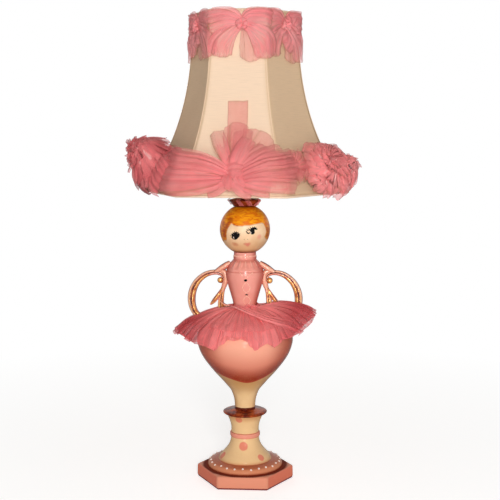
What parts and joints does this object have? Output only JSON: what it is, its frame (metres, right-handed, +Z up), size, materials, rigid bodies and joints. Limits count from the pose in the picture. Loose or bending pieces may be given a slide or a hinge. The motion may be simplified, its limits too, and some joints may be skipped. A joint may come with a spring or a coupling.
{
  "type": "table lamp",
  "caption": "Ceramic ballerina table lamp: an urn-shaped dancer with scroll handles for arms, a tulle tutu and a six-sided bell shade trimmed with tulle bows.",
  "frame": {"origin": "centre of the underside of the felt pad, on the axis of the lamp pipe", "axes": "+Z up along the lamp pipe, the dancer faces -Y, +X towards the handle on the viewer's right"},
  "size_m": [0.3124, 0.2839, 0.6344],
  "materials": {
    "cream_glaze": "glossy cream glaze",
    "pink_glaze": "glossy salmon-pink glaze",
    "gold_lustre": "gold lustre over pink glaze",
    "copper_lustre": "dark copper lustre",
    "brass": "satin, lacquered",
    "steel": "zinc plated",
    "aluminium": "plain",
    "phenolic": "moulded, dull black",
    "card": "fibre sleeve",
    "opal_glass": "soft white frost",
    "tulle": "pink nylon tulle",
    "satin": "cream acetate satin",
    "felt": "wool felt"
  },
  "bodies": {
    "stand": {"felt_pad": "felt", "pedestal": "pink_glaze", "cord_bushing": "phenolic", "pipe_washer": "steel", "pipe_nut": "steel", "lamp_pipe": "steel", "collar_ring": "copper_lustre", "urn_bowl": "pink_glaze", "bodice": "pink_glaze", "handle_left": "gold_lustre", "handle_right": "gold_lustre", "head": "cream_glaze", "crown_cap": "copper_lustre", "crown_spacer": "brass", "crown_tulle": "tulle", "waist_ribbon": "tulle", "tutu_front": "tulle", "tutu_back": "tulle", "harp_saddle": "brass", "socket_cap": "brass", "socket_shell": "brass", "socket_sleeve": "card", "switch_block": "phenolic", "screw_shell": "aluminium", "centre_contact": "brass"},
    "switch": {"switch_stem": "brass", "switch_knob": "phenolic"},
    "bulb": {"bulb_cap": "aluminium", "bulb_glass": "opal_glass"},
    "harp": {"harp_wire": "brass", "harp_seat": "brass"},
    "left_ferrule": {"ferrule_left": "brass"},
    "right_ferrule": {"ferrule_right": "brass"},
    "shade": {"shade_frame": "brass", "shade_spider": "brass", "shade_panel_front": "satin", "shade_panel_front_right": "satin", "shade_panel_back_right": "satin", "shade_panel_back": "satin", "shade_panel_back_left": "satin", "shade_panel_front_left": "satin", "hem_bow_front": "tulle", "hem_bow_front_right": "tulle", "hem_bow_back_right": "tulle", "hem_bow_back": "tulle", "hem_bow_back_left": "tulle", "hem_bow_front_left": "tulle", "top_bow_front": "tulle", "top_bow_front_right": "tulle", "top_bow_back_right": "tulle", "top_bow_back": "tulle", "top_bow_back_left": "tulle", "top_bow_front_left": "tulle"},
    "finial_nut": {"finial": "brass"}
  },
  "joints": [
    {"name": "switch_turn", "type": "hinge", "parent": "stand", "child": "switch", "pos_m": [0, 0, 0.42259], "axis": [0, 1, 0], "continuous": true},
    {"name": "bulb_lift", "type": "slide", "parent": "stand", "child": "bulb", "axis": [0, 0, 1], "range_m": [0, 0.027]},
    {"name": "harp_lift", "type": "slide", "parent": "stand", "child": "harp", "axis": [0, 0, 1], "range_m": [0, 0.16]},
    {"name": "ferrule_left_lift", "type": "slide", "parent": "harp", "child": "left_ferrule", "axis": [0, 0, 1], "range_m": [0, 0.014]},
    {"name": "ferrule_right_lift", "type": "slide", "parent": "harp", "child": "right_ferrule", "axis": [0, 0, 1], "range_m": [0, 0.014]},
    {"name": "shade_swivel", "type": "hinge", "parent": "harp", "child": "shade", "pos_m": [0, 0, 0.6056], "axis": [0, 0, 1], "continuous": true},
    {"name": "finial_lift", "type": "slide", "parent": "harp", "child": "finial_nut", "axis": [0, 0, 1], "range_m": [0, 0.03]}
  ]
}
